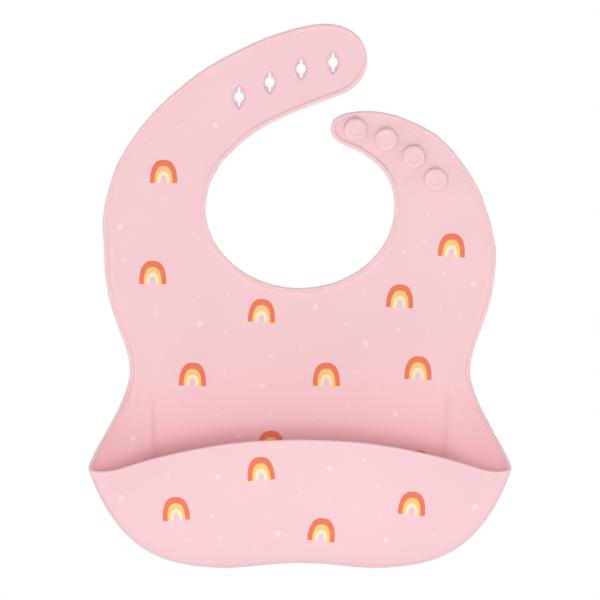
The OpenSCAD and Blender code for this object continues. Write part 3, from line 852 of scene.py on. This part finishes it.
def eyelet(number):
    """A thin web in the eye-shaped recess, with a round hole and two tapered slits."""
    cx, cz = EYELETS[number]
    a, rho = eye_outline()
    across, up = np.abs(np.cos(a)), np.abs(np.sin(a))
    slit = SLIT_ROOT / (across + (SLIT_ROOT - SLIT_END) / SLIT_REACH * up)
    hole = np.maximum(HOLE_R, np.minimum(slit, SLIT_REACH))
    dirs = np.stack([np.cos(a), np.sin(a)], 1)
    # The web's section, from the oval's edge to the hole's edge.
    share = np.array([0, 0.05, 0.13, 0.24, 0.5, 0.8, 0.93, 1.0])
    front_y = np.array([-2.0, -1.94, -1.4, -1.08, -1.05, -1.05, -1.0, -0.9])
    back_y = np.array([0.0, -0.05, -0.22, -0.3, -0.3, -0.3, -0.34, -0.44])
    p = Patches()
    rims = []
    for ys, flip in ((front_y, False), (back_y, True)):
        pts = np.zeros((len(a) + 1, len(share), 3))
        for k, (s, y) in enumerate(zip(share, ys)):
            r = rho + (hole - rho) * s
            ring = dirs * r[:, None]
            pts[:-1, k] = np.stack([cx + ring[:, 0], np.full(len(a), y), cz + ring[:, 1]], 1)
            pts[-1, k] = pts[0, k]
        n = surface_normals(pts)
        want = 1 if flip else -1
        n *= np.where(n[..., 1:2] * want < 0, -1, 1)
        face = np.cross(pts[1, 1] - pts[0, 1], pts[0, 2] - pts[0, 1])
        p.grid(pts, n, flip=(face[1] * want < 0))
        rims.append((pts[:, 0], pts[:, -1]))
    (front_outer, front_hole), (back_outer, back_hole) = rims
    p.strip(back_outer, front_outer)
    p.strip(front_hole, back_hole)
    # The web's colour has its recess's shade painted in.
    return p.build(f"eyelet_{number + 1}", WEB_SHADED_PINK)


def stud(number):
    """A turned mushroom stud: stem, undercut and a softly rounded head."""
    cx, cz = STUDS[number]
    # Radius, and distance in front of the back face.
    profile = [(2.5, SHEET - 0.1), (2.5, SHEET + 1.9), (2.7, SHEET + 2.1), (5.4, SHEET + 2.2),
               (5.9, SHEET + 2.35), (6.2, SHEET + 2.75), (6.1, SHEET + 3.25), (5.7, SHEET + 3.68),
               (5.1, SHEET + 3.95), (4.5, SHEET + 4.05), (3.9, SHEET + 4.05), (3.5, SHEET + 3.95),
               (3.1, SHEET + 3.78), (2.5, SHEET + 3.7), (1.2, SHEET + 3.68), (0.0, SHEET + 3.68)]
    line = smooth(profile, 3)
    a = np.linspace(0, 2 * math.pi, 65)
    pts = np.zeros((len(a), len(line), 3))
    for k, (r, h) in enumerate(line):
        pts[:, k] = np.stack([cx + r * np.cos(a), np.full(len(a), -h), cz + r * np.sin(a)], 1)
    t = np.gradient(line, axis=0)
    t /= np.linalg.norm(t, axis=1)[:, None]
    n = np.zeros_like(pts)
    for k in range(len(line)):
        n[:, k] = np.stack([t[k, 1] * np.cos(a), np.full(len(a), t[k, 0]), t[k, 1] * np.sin(a)], 1)
    n[:, -1] = (0, -1, 0)
    p = Patches()
    face = np.cross(pts[1, 8] - pts[0, 8], pts[0, 9] - pts[0, 8])
    p.grid(pts, n, flip=(face @ n[0, 8] < 0))
    base = pts[:-1, 0]
    p.add(list(base), [list(range(len(base)))[::-1]], [[np.array([0, 1.0, 0])] * len(base)])
    return p.build(f"stud_{number + 1}", RIM_PINK)


for number in range(4):
    stands_for(eyelet(number), "tip", f"eyelet_{number + 1}")
    stands_for(stud(number), "short_strap", f"stud_{number + 1}")


# -------------------------------------------------------------------- prints
INK = 0.12                  # how far a print stands out
SUNK = 0.03                 # how deep it is rooted
BACK_END = LOW_ROW - 8      # the trough's rows up to here face the opening
NEAR = 4                    # columns to look at on either side of a point
# Each colour of a rainbow: half width at the feet and height of its outer edge.
BANDS = [(7.5, 12.8), (4.9, 9.35), (3.4, 6.3), (1.6, 4.1)]
RAINBOW_FOOT = -6.4         # height of the feet, from the print's middle
SHOULDER = 2.5              # how square an arch is; 2 would be half an ellipse
STAR_R, DOT_R = 2.1, 0.65


def placed(points, x, z, turn=0):
    c, s = math.cos(math.radians(turn)), math.sin(math.radians(turn))
    return np.array([(x + px * c - pz * s, z + px * s + pz * c) for px, pz in points])


def arch(band):
    """One colour of a rainbow: a squarish half ellipse, open where the next colour is."""
    a = np.radians(np.arange(0, 181, 5.0))
    across = np.sign(np.cos(a)) * np.abs(np.cos(a)) ** (2 / SHOULDER)
    up = np.abs(np.sin(a)) ** (2 / SHOULDER)
    loop = []
    for k in (band, band + 1):
        if k < len(BANDS):
            half, top = BANDS[k]
            ring = [(half * u, RAINBOW_FOOT + top * v) for u, v in zip(across, up)]
            loop += ring if k == band else ring[::-1]
    return loop


def star():
    a = np.radians(np.arange(10) * 36 + 90)
    r = np.where(np.arange(10) % 2 == 0, STAR_R, STAR_R * 0.45)
    return np.stack([r * np.cos(a), r * np.sin(a)], 1)


def dot():
    a = np.radians(np.arange(0, 360, 30))
    return np.stack([DOT_R * np.cos(a), DOT_R * np.sin(a)], 1)


def panel_y(x, z):
    """Front face of the panel and of the trough's back and gussets."""
    x, z = np.atleast_1d(x), np.atleast_1d(z)
    y = np.full(x.shape, -SHEET, float)
    for k in np.nonzero(z < JOIN_Z)[0]:
        i = int(np.searchsorted(XS, x[k]))
        near = inner_grid[max(i - NEAR, 0):i + NEAR, :BACK_END]
        at = [np.interp(-z[k], -column[:, 2], column[:, 0]) for column in near]
        deep = [np.interp(-z[k], -column[:, 2], column[:, 1]) for column in near]
        y[k] = np.interp(x[k], at, deep)
    return y


def pocket_y(x, z):
    """Outer face of the pocket's front."""
    x, z = np.atleast_1d(x), np.atleast_1d(z)
    y = np.zeros(x.shape, float)
    for k in range(len(x)):
        i = int(np.clip(np.searchsorted(XS, x[k]), 1, len(XS) - 1))
        share = (x[k] - XS[i - 1]) / (XS[i] - XS[i - 1])
        found = [np.interp(z[k], column[:, 2], column[:, 1])
                 for column in outer_grid[i - 1:i + 1, LOW_ROW:]]
        y[k] = found[0] + share * (found[1] - found[0])
    return y


def print_shapes(name, shapes, host, ink, how, node):
    """Thin ink shapes that follow the host surface, joined into one object."""
    spacing = FINE if how == "short_strap" else MEDIUM
    whole = Patches()
    for loop in shapes:
        piece = sheet_piece(name, [loop], lambda x, z: host(x, z) - INK,
                            lambda x, z: host(x, z) + SUNK, INKS[ink], spacing)
        mesh = piece.data
        base = len(whole.verts)
        whole.verts.extend(np.array(v.co) / MM for v in mesh.vertices)
        for polygon in mesh.polygons:
            whole.faces.append([base + k for k in polygon.vertices])
            corners = [mesh.corner_normals[k].vector for k in polygon.loop_indices]
            whole.normals.append([np.array(normal) for normal in corners])
        bpy.data.objects.remove(piece)
    stands_for(whole.build(name, INKS[ink]), how, node)


def panel_zone(x, z):
    """What a print on the panel bends with."""
    if z < SEAM_Z:
        return "pocket"
    return "long_strap" if x < 0 else "short_strap"


def strap_zone(x, _):
    """What a print on the long strap bends with."""
    return "tip" if x > -50 else "long_strap"


def pocket_zone(*_):
    return "pocket"


def print_group(word, host, zone, rainbow_at, star_at, dot_at):
    """One part's prints, one piece for each colour and each stretch of silicone they bend with."""
    stars = [(zone(x, z), placed(star(), x, z, 7 * k)) for k, (x, z) in enumerate(star_at)]
    dots = [(zone(x, z), placed(dot(), x, z)) for x, z in dot_at]
    prints = [("stars", "white", stars, "stars"), ("dots", "white", dots, "stars")]
    for band, ink in enumerate(("orange", "yellow", "cream", "lilac")):
        arcs = [(zone(x, z), placed(arch(band), x, z, turn)) for x, z, turn in rainbow_at]
        prints.append((f"arc_{ink}", ink, arcs, f"arc_{ink}"))
    for title, ink, shapes, node in prints:
        for how in ("pocket", "long_strap", "short_strap", "tip"):
            mine = [shape for place, shape in shapes if place == how]
            if mine:
                print_shapes(f"{word}_{title}_{how}", mine, host, ink, how, f"{word}_{node}")


print_group("panel", panel_y, panel_zone, PANEL_RAINBOWS, PANEL_STARS, PANEL_DOTS)
print_group("strap", flat(-SHEET), strap_zone, STRAP_RAINBOWS, STRAP_STARS, STRAP_DOTS)
print_group("pocket", pocket_y, pocket_zone, POCKET_RAINBOWS, POCKET_STARS, POCKET_DOTS)


# ------------------------------------------------------------ stage and light
FLOOR_Z, FLOOR_SIZE = -0.5, 24      # metres
AMBIENT = 0.17              # strength of the light from all round
KEY, FILL, SIDES, TOP, BACK = 17, 13.2, 30, 19, 95      # watts
APRON = (0, 0, -0.05)       # what the lamps aim at, in metres
CAMERA_FAR = 10.0           # camera distance, for a view almost without perspective
CAMERA_Z = -0.0517
FRAME_HEIGHT = 0.330        # what fills the picture, in metres


def stage():
    """A plain white floor a little below the hanging bib."""
    bpy.ops.mesh.primitive_plane_add(size=FLOOR_SIZE, location=(0, 0, FLOOR_Z))
    floor = bpy.context.object
    floor.name = "floor"
    paint = bpy.data.materials.new("floor_white")
    paint.use_nodes = True
    shader = paint.node_tree.nodes["Principled BSDF"]
    shader.inputs["Base Color"].default_value = (0.97, 0.97, 0.97, 1)
    shader.inputs["Emission Color"].default_value = (1, 1, 1, 1)
    shader.inputs["Emission Strength"].default_value = 0.09
    shader.inputs["Roughness"].default_value = 0.9
    shader.inputs["Specular IOR Level"].default_value = 0.1
    floor.data.materials.append(paint)


def area(name, at, aim, size, power):
    light = bpy.data.lights.new(name, "AREA")
    light.shape = "SQUARE"
    light.size = size
    light.energy = power
    obj = bpy.data.objects.new(name, light)
    obj.location = at
    obj.rotation_euler = (Vector(aim) - Vector(at)).to_track_quat("-Z", "Y").to_euler()
    bpy.context.scene.collection.objects.link(obj)


def studio_world():
    """White behind the object, and a softer white light on it from all round."""
    world = bpy.data.worlds.new("studio")
    world.use_nodes = True
    nodes, links = world.node_tree.nodes, world.node_tree.links
    back = nodes["Background"]
    back.inputs["Color"].default_value = (1, 1, 1, 1)
    seen = nodes.new("ShaderNodeLightPath")
    strength = nodes.new("ShaderNodeMapRange")
    strength.inputs["To Min"].default_value = AMBIENT
    strength.inputs["To Max"].default_value = 1.0
    links.new(seen.outputs["Is Camera Ray"], strength.inputs["Value"])
    links.new(strength.outputs["Result"], back.inputs["Strength"])
    bpy.context.scene.world = world


def light_and_camera():
    studio_world()
    area("key", (-1.1, -3.5, 1.1), APRON, 2.0, KEY)
    area("fill", (0.1, -1.8, -0.21), (0, 0, -0.12), 0.6, FILL)
    area("back_fill", (0.8, 3.5, 1.1), APRON, 2.0, BACK)
    area("left_side", (-3.2, -0.3, 0.3), APRON, 2.0, SIDES)
    area("right_side", (3.2, -0.3, 0.3), APRON, 2.0, SIDES)
    area("top", (0, -0.3, 3.2), APRON, 2.0, TOP)
    bpy.context.scene.view_settings.view_transform = "Standard"
    camera = bpy.data.cameras.new("camera")
    camera.sensor_width = 36
    camera.lens = camera.sensor_width * CAMERA_FAR / FRAME_HEIGHT
    camera.clip_end = 100
    obj = bpy.data.objects.new("camera", camera)
    obj.location = (0, -CAMERA_FAR, CAMERA_Z)
    obj.rotation_euler = (math.pi / 2, 0, 0)
    bpy.context.scene.collection.objects.link(obj)
    bpy.context.scene.camera = obj


stage()
light_and_camera()
